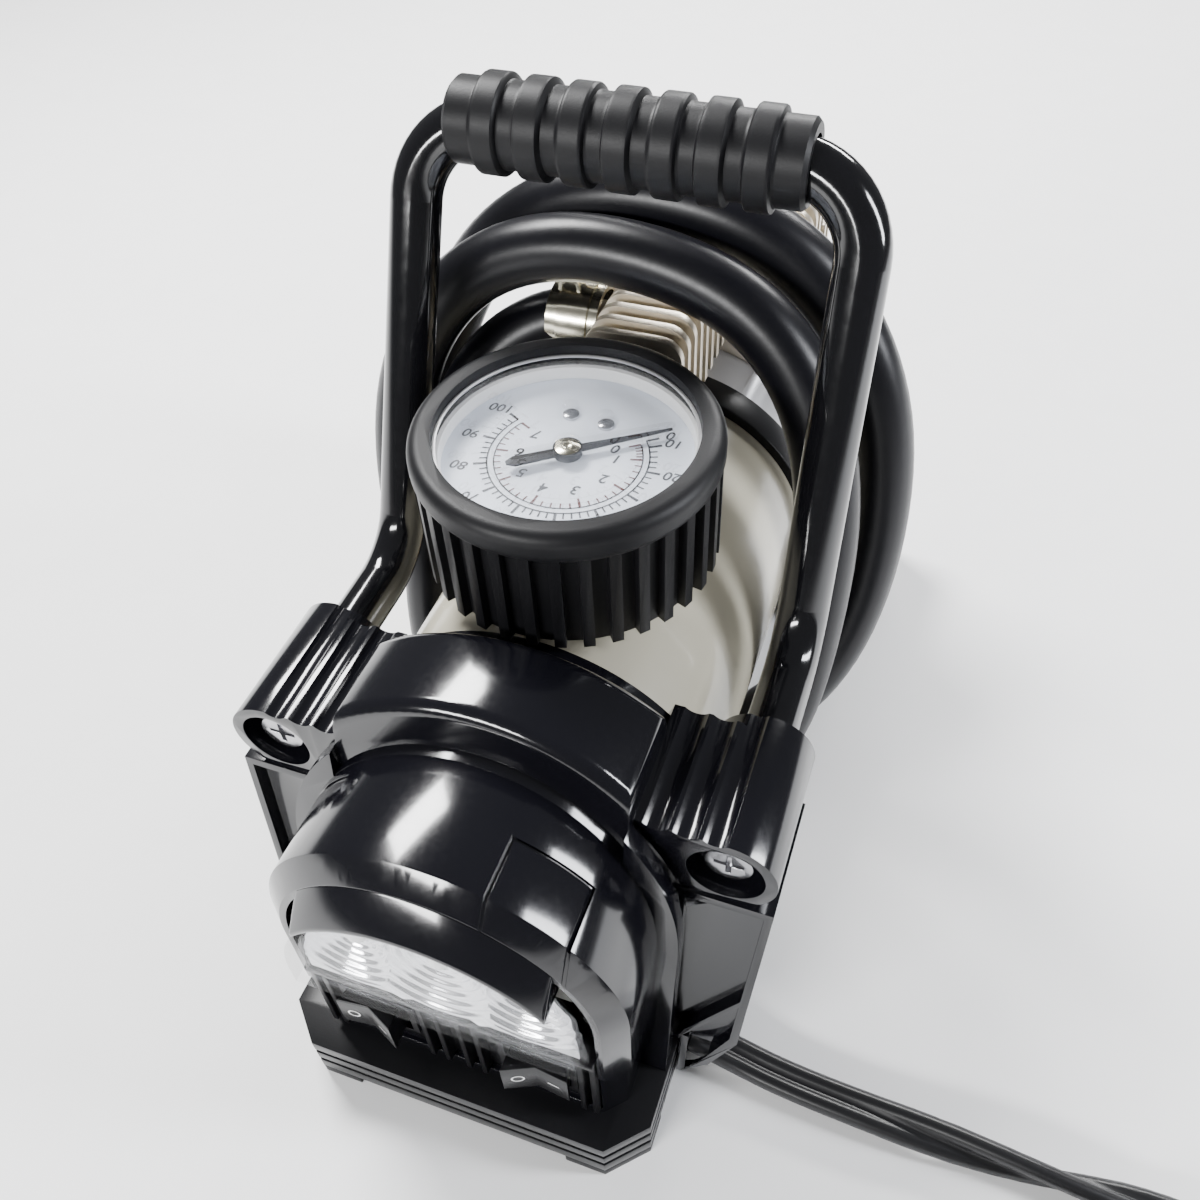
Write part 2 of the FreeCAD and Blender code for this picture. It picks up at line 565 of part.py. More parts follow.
def finned_block(half, y0, y1, z0, z1, corner, core_inset):
    """Plates across X, one behind another, on a smaller core."""
    def plate(w, ya, yb, top):
        solid = box(-w, w, ya, yb, z0, top)
        return rounded(solid, corner, lambda e: e.BoundBox.ZMin > top - 0.01 and e.BoundBox.XLength < 0.01)
    count = int((y1 - y0 - FIN_T) / FIN_PITCH + 0.001) + 1
    pitch = (y1 - y0 - FIN_T) / (count - 1)
    plates = [plate(half, y0 + i * pitch, y0 + i * pitch + FIN_T, z1) for i in range(count)]
    return fuse([plate(half - core_inset, y0, y1, z1 - core_inset)] + plates)


def cylinder():
    block = finned_block(FIN_HALF, 171.0, 201.0, DECK_Z + 0.02, 112.0, 0.8, 4.2)
    return block.cut(cyl(BORE_R, (0, BORE_Y, 80), (0, 0, 1), 40)).cut(head_bolts(1.75, 80, 130))


def head_bolts(r, z0, z1):
    return fuse([cyl(r, (x, y, z0), (0, 0, 1), z1 - z0) for x in (-19.0, 19.0) for y in (174.6, 197.4)])


def valve_plate():
    plate = box(-22.5, 22.5, 171.4, 200.6, 112.02, 114.0).cut(head_bolts(1.75, 100, 130))
    return plate.cut(both(cyl(2.0, (6, BORE_Y, 100), (0, 0, 1), 30)))


def reed_valve():
    return box(-9.5, -2.5, BORE_Y - 3, BORE_Y + 10, 114.02, 114.3)


def cylinder_head():
    head = finned_block(FIN_HALF, 171.0, 201.0, 114.35, HEAD_TOP, 5.0, 3.4)
    head = head.cut(box(-15, 15, BORE_Y - 11, BORE_Y + 11, 110, 119.2))
    head = head.cut(along_y(3.0, 0, 116.8, 165, 180))
    pockets = fuse([cyl(3.4, (x, y, 119.5), (0, 0, 1), 10) for x in (-19.0, 19.0) for y in (174.6, 197.4)])
    return head.cut(head_bolts(1.75, 100, 130)).cut(pockets)


def head_screws():
    heads = fuse([cyl(3.0, (x, y, 119.55), (0, 0, 1), 3.0) for x in (-19.0, 19.0) for y in (174.6, 197.4)])
    return heads.fuse(head_bolts(1.7, 86, 120))


def outlet_manifold():
    block = finned_block(MANIFOLD_HALF, MANIFOLD_Y0, MANIFOLD_Y1, 100.0, MANIFOLD_TOP, 5.0, 2.4)
    block = block.cut(along_y(3.0, 0, 116.8 - 4.0, MANIFOLD_Y0 + 6, MANIFOLD_Y1 + 1))
    block = block.fuse(cyl(BARB_R, (-MANIFOLD_HALF + 3, PORT_Y, PORT_Z), (-1, 0, 0), 14.0))
    return block.cut(cyl(2.4, (0, PORT_Y, PORT_Z), (-1, 0, 0), 30.0))


def hose_ferrule():
    sleeve = ring(7.9, HOSE_R + 0.02, (-12.2, PORT_Y, PORT_Z), (-1, 0, 0), 12.0)
    return sleeve.fuse(ring(8.3, 7.8, (-12.2, PORT_Y, PORT_Z), (-1, 0, 0), 2.0))


def rear_stand():
    """The bracket that the crankcase sits on."""
    outline = [(-STAND_HALF, FOOT_H), (STAND_HALF, FOOT_H), (STAND_HALF, 33.0), (45.0, 42.0),
               (30.0, 48.0), (-30.0, 48.0), (-45.0, 42.0), (-STAND_HALF, 33.0)]
    stand = prism_xz(outline, STAND_Y, LENGTH)
    stand = stand.cut(along_y(CASE_R_OUT + 0.05, 0, AXIS_Z, STAND_Y - 1, LENGTH - 6))
    stand = stand.cut(along_y(30.2, 0, AXIS_Z, LENGTH - 7, LENGTH + 1))
    window = both(box(47.0, 52.5, STAND_Y - 1, STAND_Y + 2.5, 6, 17))
    stand = stand.cut(window)
    hollow = both(box(4.0, 38.0, STAND_Y + 5, LENGTH - 3, 0, 19))
    return stand.cut(hollow)


# Gauge

def gauge_boot():
    """Ribbed rubber bumper around the gauge, with a lip over the glass."""
    centre = (GAUGE_X, GAUGE_Y)
    rim_h, base_z = 7.0, 97.0
    rim = cyl(GAUGE_BOOT_R, (*centre, GAUGE_TOP - rim_h), (0, 0, 1), rim_h)
    rim = rounded(rim, 2.6, lambda e: e.Closed)
    skirt = cyl(GAUGE_BOOT_R - 2.2, (*centre, base_z), (0, 0, 1), GAUGE_TOP - rim_h - base_z + 1)
    boot = rim.fuse(skirt)
    ribs = 34
    for i in range(ribs):
        rib = box(GAUGE_X + 26, GAUGE_X + GAUGE_BOOT_R - 0.4, GAUGE_Y - 1.1, GAUGE_Y + 1.1, base_z, 120)
        boot = boot.fuse(rib.rotate(V(*centre, 0), V(0, 0, 1), 360.0 * i / ribs))
    boot = boot.cut(cyl(CASE_R + 0.02, (*centre, base_z + 2), (0, 0, 1), GAUGE_TOP - base_z - 4.4))
    boot = boot.cut(cyl(LIP_R, (*centre, base_z), (0, 0, 1), 40))
    boot = boot.cut(box(GAUGE_X - 3, GAUGE_X + 3, GAUGE_Y + 15, GAUGE_Y + 40, 90, PIPE_Z + 2.4))
    return boot.removeSplitter()


def gauge_case():
    centre = (GAUGE_X, GAUGE_Y)
    case = cyl(CASE_R, (*centre, 99.1), (0, 0, 1), CASE_TOP - 99.1)
    case = case.cut(cyl(CASE_R - 1.2, (*centre, 100.6), (0, 0, 1), 30))
    case = case.fuse(cyl(5.0, (*centre, 94.2), (0, 0, 1), 12.0))
    return case.cut(cyl(1.5, (*centre, 90), (0, 0, 1), 14)).cut(
        cyl(2.1, (GAUGE_X, GAUGE_Y, PIPE_Z), (0, 1, 0), 6.0))


def gauge_pipe():
    """Air line from the manifold to the back of the gauge."""
    route = [(GAUGE_X, GAUGE_Y + 1.0, PIPE_Z), (GAUGE_X, 118.0, PIPE_Z), (GAUGE_X, 118.0, 106.0),
             (GAUGE_X, 126.0, 106.0)]
    return pipe(route, [3.0, 3.0], 1.9).common(box(-50, 50, GAUGE_Y + 5.1, MANIFOLD_Y0, 90, 120))


def bourdon_tube():
    centre = (GAUGE_X, GAUGE_Y)
    tube = ring(17.0, 14.0, (*centre, 106.4), (0, 0, 1), 4.0)
    return tube.cut(box(GAUGE_X, GAUGE_X + 30, GAUGE_Y, GAUGE_Y + 30, 100, 115))


def gauge_dial():
    centre = (GAUGE_X, GAUGE_Y)
    return ring(CASE_R - 1.25, 1.2, (*centre, DIAL_Z - 0.8), (0, 0, 1), 0.8)


def gauge_needle():
    """Tapered pointer with a broad tail, a hub on top and a staff through the dial."""
    x, y = GAUGE_X, GAUGE_Y
    half = [(-NEEDLE_TAIL, 0.4), (-NEEDLE_TAIL + 1.6, 1.3), (-2.0, 1.1), (4.0, 0.9), (NEEDLE_TIP, 0.2)]
    outline = [(x + along, y + side) for along, side in half]
    outline += [(x + along, y - side) for along, side in half[::-1]]
    needle = prism_xy(outline, DIAL_Z + 1.5, DIAL_Z + 1.9)
    hub = cyl(HUB_R, (x, y, DIAL_Z + 1.0), (0, 0, 1), 1.6)
    staff = cyl(1.1, (x, y, DIAL_Z - 3), (0, 0, 1), 4.5)
    return needle.fuse(hub).fuse(staff).rotate(V(x, y, 0), V(0, 0, 1), ZERO_ANGLE)


def gauge_lens():
    return cyl(CASE_R - 0.1, (GAUGE_X, GAUGE_Y, CASE_TOP + 0.1), (0, 0, 1), LENS_T)


# Air hose, wound around the motor

def coil_y(z):
    return COIL_Y + COIL_LEAN * (z - COIL_REF_Z)


def ellipse_prism(half_x, half_z, centre_z, y0, y1):
    ellipse = Part.Ellipse(V(0, y0, centre_z + half_z), V(half_x, y0, centre_z), V(0, y0, centre_z))
    face = Part.Face(Part.Wire([ellipse.toShape()]))
    return face.extrude(V(0, y1 - y0, 0))


def air_hose_coil():
    """The outer shape of two and a quarter turns, which lean back against the pump."""
    outer = ellipse_prism(65.0, 68.6, 74.6, 60, 200)
    inner = ellipse_prism(43.0, 52.0, 71.6, 60, 200)
    half_deep = 15.0
    band = prism_yz([(coil_y(-20) - half_deep, -20), (coil_y(200) - half_deep, 200),
                     (coil_y(200) + half_deep, 200), (coil_y(-20) + half_deep, -20)], -100, 100)
    return outer.cut(inner).common(band).cut(box(HOSE_LEAD_X, -10, 120, 150, 98, 121.5))


def air_hose_lead():
    return ring(HOSE_R, BARB_R, (-12.4, PORT_Y, PORT_Z), (-1, 0, 0), -12.4 - HOSE_LEAD_X)


def air_hose_tail():
    return cord_pipe("air_hose_tail", HOSE_TAIL, HOSE_R).cut(air_hose_coil())


def chuck_body():
    """Push-on tyre chuck: collar on the hose, valve bore at the low end, two ears for the lever."""
    start = (CHUCK_X, CHUCK_Y, CHUCK_END)
    body = cyl(7.0, start, (0, 0, 1), CHUCK_TOP - CHUCK_END)
    body = body.fuse(cyl(8.4, start, (0, 0, 1), 16.0))
    body = body.fuse(cyl(7.8, (CHUCK_X, CHUCK_Y, 30.0), (0, 0, 1), CHUCK_TOP - 30.0))
    ears = fuse([box(x - 1.0, x + 1.0, CHUCK_Y + 4, LEVER_Y + 2.6, LEVER_Z - 3, LEVER_Z + 3)
                 for x in (CHUCK_X - 4.0, CHUCK_X + 4.0)])
    body = body.fuse(ears).cut(cyl(VALVE_R, start, (0, 0, 1), VALVE_DEEP))
    return body.cut(cyl(1.2 + FIT, (CHUCK_X - 6, LEVER_Y, LEVER_Z), (1, 0, 0), 12))


def chuck_lever():
    x0, x1 = CHUCK_X - 2.7, CHUCK_X + 2.7
    arm = prism_yz([(LEVER_Y - 1.4, LEVER_Z + 2.4), (LEVER_Y + 2.4, LEVER_Z - 1.0),
                    (LEVER_Y + 4.6, LEVER_Z + 24.0), (LEVER_Y + 2.2, LEVER_Z + 25.0)], x0, x1)
    arm = arm.fuse(cyl(2.2, (x0, LEVER_Y, LEVER_Z), (1, 0, 0), x1 - x0))
    return arm.fuse(cyl(1.2, (CHUCK_X - 5.0, LEVER_Y, LEVER_Z), (1, 0, 0), 10.0))


# Power cord

def power_cord():
    x, y = CORD_COIL
    ring_space = cyl(CORD_COIL_OUT, (x, y, -1), (0, 0, 1), 40)
    return cord_pipe("power_cord", CORD_ROUTE, CORD_R).cut(ring_space).cut(cord_grommet())


def power_cord_coil():
    x, y = CORD_COIL
    return ring(CORD_COIL_OUT, CORD_COIL_IN, (x, y, 0.2), (0, 0, 1), CORD_COIL_H)


def cord_grommet():
    grommet = cyl(4.55, (BASE_HALF - 3.2, CORD_Y, CORD_Z), (1, 0, 0), 3.25)
    return grommet.fuse(cyl(5.4, (BASE_HALF + 0.02, CORD_Y, CORD_Z), (1, 0, 0), 1.5))


def along_plug(r, start, length):
    return cyl(r, (PLUG_X - start, PLUG_Y, PLUG_Z), (-1, 0, 0), length)


def plug_body():
    """12 volt accessory plug: barrel, nose ring and a tapered cord sleeve."""
    barrel = along_plug(PLUG_R, 0, PLUG_LONG).fuse(along_plug(8.2, PLUG_LONG - 0.1, 5.1))
    sleeve = Part.makeCone(4.6, 8.0, 20.0, V(PLUG_X + 20, PLUG_Y, PLUG_Z), V(-1, 0, 0))
    body = barrel.fuse(sleeve).cut(along_plug(6.0, 14, PLUG_LONG - 14 + 2))
    body = body.cut(along_plug(TIP_R + FIT, PLUG_LONG + 1, 6.0))
    for side in (-1, 1):
        y0, y1 = sorted((side * 7.0, side * 12.0))
        window = box(PLUG_X - 42, PLUG_X - 26, PLUG_Y + y0, PLUG_Y + y1, PLUG_Z - 2.2, PLUG_Z + 2.2)
        body = body.cut(window)
    return body


def plug_contacts():
    """The two side springs, pressed in as a socket holds them."""
    spring = prism_xy([(PLUG_X - 26.2, PLUG_Y + 7.2), (PLUG_X - 26.2, PLUG_Y + 9.6),
                       (PLUG_X - 34, PLUG_Y + PLUG_R), (PLUG_X - 41.8, PLUG_Y + 9.6),
                       (PLUG_X - 41.8, PLUG_Y + 7.2)], PLUG_Z - 2.0, PLUG_Z + 2.0)
    other = spring.mirror(V(0, PLUG_Y, 0), V(0, 1, 0))
    return spring.fuse(other)


def plug_tip():
    tip = along_plug(TIP_R, PLUG_LONG - 3, 9.5).fuse(along_plug(5.4, PLUG_LONG - 4.4, 3.4))
    nose = Part.makeSphere(TIP_R, V(PLUG_X - PLUG_LONG - 6.5, PLUG_Y, PLUG_Z))
    return tip.fuse(nose.common(along_plug(TIP_R, PLUG_LONG + 6.4, 6)))


def build():
    os.makedirs("parts", exist_ok=True)
    makers = [
        base_tray, rubber_feet, base_screws, front_shell, rear_shell, handle_screws,
        lamp_brow, lamp_lens, lamp_reflector, lamp_led_board, switch_panel,
        handle_tube, handle_grip, motor_housing, motor_magnets, brush_plate, carbon_brushes,
        shaft_bushes, motor_rear_cap, motor_shaft, armature_core, armature_windings, commutator,
        cooling_fan, crankcase, crankcase_cover, crank_disc, piston_rod, rod_bearing, piston_seal,
        cylinder, valve_plate, reed_valve, cylinder_head, head_screws, outlet_manifold, hose_ferrule,
        rear_stand, gauge_boot, gauge_case, gauge_pipe, bourdon_tube, gauge_dial, gauge_needle,
        gauge_lens, air_hose_lead, air_hose_coil, air_hose_tail, power_cord, power_cord_coil,
        cord_grommet, chuck_body, chuck_lever, plug_body, plug_contacts, plug_tip,
    ]
    for maker in makers:
        save(maker.__name__, maker())
    for name, side in (("pump_switch", 1), ("lamp_switch", -1)):
        save(name + "_body", switch_body(side))
        save(name + "_rocker", switch_rocker(side))


build()
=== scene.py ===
import json
import math

import bmesh
import bpy
from mathutils import Euler, Matrix, Vector


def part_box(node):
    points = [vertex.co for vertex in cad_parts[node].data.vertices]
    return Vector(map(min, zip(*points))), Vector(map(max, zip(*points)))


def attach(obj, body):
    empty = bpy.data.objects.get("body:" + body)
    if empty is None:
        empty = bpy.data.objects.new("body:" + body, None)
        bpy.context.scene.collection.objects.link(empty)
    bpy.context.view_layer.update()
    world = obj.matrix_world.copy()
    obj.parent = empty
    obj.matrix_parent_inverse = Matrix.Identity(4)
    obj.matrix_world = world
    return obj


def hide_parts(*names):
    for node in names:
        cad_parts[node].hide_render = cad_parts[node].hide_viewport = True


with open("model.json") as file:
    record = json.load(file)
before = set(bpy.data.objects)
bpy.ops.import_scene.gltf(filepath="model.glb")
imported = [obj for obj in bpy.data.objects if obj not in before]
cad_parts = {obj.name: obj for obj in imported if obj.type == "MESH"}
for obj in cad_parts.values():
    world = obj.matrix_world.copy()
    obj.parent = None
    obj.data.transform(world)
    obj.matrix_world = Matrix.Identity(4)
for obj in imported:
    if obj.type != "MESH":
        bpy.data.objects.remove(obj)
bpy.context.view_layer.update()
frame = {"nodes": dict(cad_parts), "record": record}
node_body = {}
for body_name, body_nodes in frame["record"]["behaviour"]["bodies"].items():
    for node_name in body_nodes:
        node_body[node_name] = body_name
node_slot = {part["node"]: part["material_slot"] for part in frame["record"]["subparts"]}

MM = 0.001
FRONT_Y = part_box("base_tray")[0][1]      # places below are measured from the base's front edge
LAMP_LED = (17.5, 61.0)                  # middle of a side lamp dish: out from the centre, and height
LENS_ARCH = (28.2, 51.4, 47.6)           # reflector arch: radius, height of its centre, foot height
ROCKER = (17.6, 9.6, 30.5)               # pivot of the right rocker
ROCKER_HALF, ROCKER_DISH = 6.7, 1.8      # half its width, and how deep its face is dished
ROCKER_FRONT = 6.6                       # from the pivot to its two ends
ROCKER_TILT = 9.0                        # each rocker rests with its inner end out by this angle
PRINT_LIFT = 0.06


def at(x, y, z):
    """A place in millimetres from the base's front edge, as a point in the row frame."""
    return Vector((x * MM, FRONT_Y + y * MM, z * MM))


# Camera, floor and light

CAMERA_LENS = 33.82
CAMERA_PLACE = (64.9, -63.3, 257.8)
CAMERA_TURN = (42.25, 2.08, 19.78)

def make_camera():
    data = bpy.data.cameras.new("camera")
    data.sensor_width = 36.0
    data.lens = CAMERA_LENS
    data.clip_start = 0.01
    camera = bpy.data.objects.new("camera", data)
    camera.location = at(*CAMERA_PLACE)
    camera.rotation_euler = Euler([math.radians(a) for a in CAMERA_TURN], "XYZ")
    bpy.context.collection.objects.link(camera)
    bpy.context.scene.camera = camera


def area_light(name, location, target, size, power, tint=(1.0, 1.0, 1.0)):
    data = bpy.data.lights.new(name, "AREA")
    data.shape = "RECTANGLE"
    data.size, data.size_y = size
    data.energy = power
    data.color = tint
    lamp = bpy.data.objects.new(name, data)
    lamp.location = location
    lamp.rotation_euler = (Vector(target) - Vector(location)).to_track_quat("-Z", "Y").to_euler()
    bpy.context.collection.objects.link(lamp)


def make_studio():
    world = bpy.data.worlds.new("studio")
    world.use_nodes = True
    world.node_tree.nodes["Background"].inputs["Color"].default_value = (0.95, 0.97, 1.0, 1.0)
    world.node_tree.nodes["Background"].inputs["Strength"].default_value = 0.16
    bpy.context.scene.world = world
    middle = (0.0, 0.0, 0.06)
    area_light("key", (-0.45, 0.30, 0.75), middle, (0.32, 0.22), 17.0)
    area_light("side", (0.70, 0.10, 0.45), middle, (0.12, 0.45), 8.0, (0.93, 0.95, 1.0))
    area_light("back", (0.05, 0.80, 0.50), middle, (0.60, 0.12), 9.0)
    area_light("front", (-0.25, -0.70, 0.40), middle, (0.40, 0.10), 8.0)

    size = 3.0
    mesh = bpy.data.meshes.new("floor")
    corners = [(-size, -size, 0), (size, -size, 0), (size, size, 0), (-size, size, 0)]
    mesh.from_pydata(corners, [], [(0, 1, 2, 3)])
    floor = bpy.data.objects.new("floor", mesh)
    floor.data.materials.append(grained("floor_paint", (0.95, 0.95, 0.95), 0.6, grain=300,
                                        bump=0.00001, vary=0.01))
    bpy.context.collection.objects.link(floor)


# Materials

def grained(name, color, rough, metal=0.0, coat=0.0, grain=1500.0, bump=0.00001, vary=0.08,
            rough_vary=0.06, stretch=(1, 1, 1), alpha=1.0, specular=0.5):
    """A surface with fine grain in its relief and shine, and slow changes in its colour."""
    mat = bpy.data.materials.new(name)
    mat.use_nodes = True
    nodes, links = mat.node_tree.nodes, mat.node_tree.links
    shader = nodes["Principled BSDF"]
    shader.inputs["Metallic"].default_value = metal
    shader.inputs["Coat Weight"].default_value = coat
    shader.inputs["Coat Roughness"].default_value = 0.06
    shader.inputs["Alpha"].default_value = alpha
    shader.inputs["Specular IOR Level"].default_value = specular
    coords = nodes.new("ShaderNodeTexCoord")
    mapping = nodes.new("ShaderNodeMapping")
    mapping.inputs["Scale"].default_value = stretch
    links.new(coords.outputs["Object"], mapping.inputs["Vector"])
    fine = noise(nodes, links, mapping, grain, 5.0)
    broad = noise(nodes, links, mapping, 60.0, 3.0)
    ramp = nodes.new("ShaderNodeValToRGB")
    ramp.color_ramp.elements[0].position = 0.3
    ramp.color_ramp.elements[0].color = (*[c * (1 - vary) for c in color], 1)
    ramp.color_ramp.elements[1].position = 0.7
    ramp.color_ramp.elements[1].color = (*[min(1.0, c * (1 + vary)) for c in color], 1)
    links.new(broad.outputs["Fac"], ramp.inputs["Fac"])
    links.new(ramp.outputs["Color"], shader.inputs["Base Color"])
    shine = nodes.new("ShaderNodeMapRange")
    shine.inputs["To Min"].default_value = max(0.02, rough - rough_vary)
    shine.inputs["To Max"].default_value = min(1.0, rough + rough_vary)
    links.new(fine.outputs["Fac"], shine.inputs["Value"])
    links.new(shine.outputs["Result"], shader.inputs["Roughness"])
    relief = nodes.new("ShaderNodeBump")
    relief.inputs["Distance"].default_value = bump
    links.new(fine.outputs["Fac"], relief.inputs["Height"])
    links.new(relief.outputs["Normal"], shader.inputs["Normal"])
    return mat


def noise(nodes, links, mapping, scale, detail):
    node = nodes.new("ShaderNodeTexNoise")
    node.inputs["Scale"].default_value = scale
    node.inputs["Detail"].default_value = detail
    links.new(mapping.outputs["Vector"], node.inputs["Vector"])
    return node


def clear_plastic(name):
    mat = grained(name, (0.97, 0.98, 1.0), 0.04, grain=500, bump=0.000002, vary=0.01, rough_vary=0.02,
                  alpha=0.12)
    shader = mat.node_tree.nodes["Principled BSDF"]
    shader.inputs["Transmission Weight"].default_value = 1.0
    shader.inputs["IOR"].default_value = 1.45
    return mat


MAKERS = {
    "shell": lambda n: grained(
        n, (0.004, 0.004, 0.006), 0.14, coat=0.3, grain=900, bump=0.000004, rough_vary=0.04),
    "tray": lambda n: grained(
        n, (0.005, 0.005, 0.006), 0.32, grain=2600, bump=0.000012, specular=0.3),
    "rubber": lambda n: grained(
        n, (0.005, 0.005, 0.006), 0.46, grain=3200, bump=0.00002, specular=0.22),
    "hose": lambda n: grained(
        n, (0.004, 0.004, 0.006), 0.34, grain=1400, bump=0.00001, specular=0.3),
    "cord": lambda n: grained(n, (0.008, 0.008, 0.009), 0.34, grain=1800, bump=0.00001),
    "paint_black": lambda n: grained(
        n, (0.004, 0.004, 0.005), 0.12, coat=0.5, grain=500, bump=0.000008),
    "paint_beige": lambda n: grained(
        n, (0.50, 0.47, 0.37), 0.24, coat=0.4, grain=420, bump=0.00001, vary=0.04),
    "cast": lambda n: grained(
        n, (0.62, 0.56, 0.46), 0.36, metal=0.85, grain=1300, bump=0.00003, vary=0.06),
    "liner": lambda n: grained(n, (0.60, 0.60, 0.61), 0.42, metal=0.9, grain=1500, bump=0.00003),
    "steel": lambda n: grained(
        n, (0.58, 0.58, 0.60), 0.28, metal=1.0, grain=900, stretch=(1, 12, 1)),
    "screw": lambda n: grained(n, (0.48, 0.48, 0.50), 0.22, metal=1.0, grain=700, bump=0.000006),
    "ferrule": lambda n: grained(n, (0.78, 0.74, 0.60), 0.18, metal=1.0, grain=700, bump=0.000006),
    "brass": lambda n: grained(n, (0.74, 0.55, 0.25), 0.24, metal=1.0, grain=900),
    "copper": lambda n: grained(
        n, (0.70, 0.34, 0.16), 0.30, metal=0.9, grain=300, bump=0.00008, stretch=(4, 1, 4)),
    "magnet": lambda n: grained(n, (0.07, 0.07, 0.08), 0.55, metal=0.4, grain=1500, bump=0.00003),
    "clear": clear_plastic,
    "reflector": lambda n: grained(
        n, (0.82, 0.83, 0.86), 0.17, metal=0.8, grain=700, bump=0.000012, vary=0.03),
    "board": lambda n: grained(n, (0.80, 0.80, 0.74), 0.45, grain=800),
    "dial": lambda n: grained(
        n, (0.80, 0.85, 0.94), 0.40, coat=0.1, grain=900, bump=0.000003, vary=0.015),
    "needle": lambda n: grained(n, (0.012, 0.012, 0.014), 0.30, grain=900),
    "carbon": lambda n: grained(n, (0.05, 0.05, 0.05), 0.6, grain=2200, bump=0.00003),
    "ptfe": lambda n: grained(n, (0.78, 0.76, 0.68), 0.42, grain=1200),
}
materials = {slot: MAKERS[slot](slot) for slot in sorted(set(node_slot.values()))}
white_print = grained("white_print", (0.80, 0.80, 0.80), 0.45, grain=900, vary=0.02)
black_print = grained("black_print", (0.006, 0.006, 0.010), 0.45, grain=900, vary=0.02)
red_print = grained("red_print", (0.10, 0.02, 0.02), 0.45, grain=900, vary=0.02)


# Pieces

def adopt(piece, body, slot, material=None):
    piece.data.materials.clear()
    piece.data.materials.append(material or materials[slot])
    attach(piece, body)
    return piece


def mesh_piece(name, verts, faces, body, slot, material=None, smooth=True):
    mesh = bpy.data.meshes.new(name)
    mesh.from_pydata([tuple(v) for v in verts], [], faces)
    mesh.update()
    piece = bpy.data.objects.new(name, mesh)
    bpy.context.collection.objects.link(piece)
    if smooth:
        soften_shading(mesh, 35.0)
    return adopt(piece, body, slot, material)


def soften_shading(mesh, degrees):
    for polygon in mesh.polygons:
        polygon.use_smooth = True
    mesh.set_sharp_from_angle(angle=math.radians(degrees))


def softened(node, width):
    """The node's own shape with its sharp edges rounded, as moulded and cast parts are."""
    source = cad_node(node)
    work = bmesh.new()
    work.from_mesh(source.data)
    bmesh.ops.remove_doubles(work, verts=work.verts, dist=0.000004)
    bmesh.ops.dissolve_limit(work, angle_limit=math.radians(0.6), verts=work.verts, edges=work.edges)
    sharp = [e for e in work.edges if len(e.link_faces) == 2 and e.calc_face_angle(0) > math.radians(32)]
    bmesh.ops.bevel(work, geom=sharp, offset=width * MM, offset_type="OFFSET", segments=2,
                    profile=0.6, affect="EDGES", clamp_overlap=True)
    mesh = bpy.data.meshes.new("soft_" + node)
    work.to_mesh(mesh)
    work.free()
    soften_shading(mesh, 40.0)
    piece = bpy.data.objects.new("soft_" + node, mesh)
    bpy.context.collection.objects.link(piece)
    adopt(piece, node_body[node], node_slot[node])
    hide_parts(node)
    return piece


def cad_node(name):
    return frame["nodes"][name]


def lathe(profile, origin, axis, steps):
    """Rings around an axis from (along, radius) pairs in millimetres."""
    turn = axis.to_track_quat("Z", "Y").to_matrix()
    verts, faces = [], []
    for along, radius in profile:
        for i in range(steps):
            angle = 2 * math.pi * i / steps
            local = Vector((radius * math.cos(angle), radius * math.sin(angle), along)) * MM
            verts.append(origin + turn @ local)
    for ring in range(len(profile) - 1):
        for i in range(steps):
            a, b = ring * steps + i, ring * steps + (i + 1) % steps
            faces.append((a, b, b + steps, a + steps))
    return verts, faces


# Cords

def nurbs(name, points, bevel, tilts=None):
    data = bpy.data.curves.new(name, "CURVE")
    data.dimensions = "3D"
    data.resolution_u = 6
    data.use_fill_caps = True
    spline = data.splines.new("NURBS")
    spline.points.add(len(points) - 1)
    for index, (slot, point) in enumerate(zip(spline.points, points)):
        slot.co = (*point, 1.0)
        slot.tilt = tilts[index] if tilts else 0.0
    spline.order_u = 3
    spline.use_endpoint_u = True
    if isinstance(bevel, bpy.types.Object):
        data.bevel_mode = "OBJECT"
        data.bevel_object = bevel
    else:
        data.bevel_depth = bevel
        data.bevel_resolution = 8
    piece = bpy.data.objects.new(name, data)
    bpy.context.collection.objects.link(piece)
    return piece


HOSE_LEAD = [(-14, 140, 112), (-22, 140, 112), (-33, 136, 107), (-40, 131, 100), (-45, 124, 90)]
HOSE_TAIL = [(-58.4, 139, 60), (-58.2, 141, 52), (-58, 141.5, 45), (-58, 141.5, 36)]
HOSE_STEPS = 16                    # points on each turn
COIL_LEAN = 0.31
# quarter turns, counted from the top and going left:
# half width, half height, height of the middle, distance behind the leaning plane
HOSE_WINDING = [(45, 60, 68, -24), (53, 59, 66, -24), (47, 61, 70, -21), (55, 61, 74, -15),
                (61, 68, 78, -9), (58, 62, 68, -2), (56, 65, 72, 6), (54, 65, 77, -5), (60, 65, 75, 12)]


def hose_turn_point(turn):
    """Where the winding is after so many turns."""
    quarters = 4 * turn - 1
    first = min(int(quarters), len(HOSE_WINDING) - 2)
    share = quarters - first
    half_x, half_z, centre_z, behind = [a + (b - a) * share for a, b in
                                        zip(HOSE_WINDING[first], HOSE_WINDING[first + 1])]
    square = 2.25                  # a little squarer than an ellipse
    angle = 2 * math.pi * turn
    side, up = -math.sin(angle), math.cos(angle)
    x = half_x * math.copysign(abs(side) ** (2 / square), side)
    z = centre_z + half_z * math.copysign(abs(up) ** (2 / square), up)
    y = 129 + COIL_LEAN * (z - 77) + behind
    return (x, y, z)


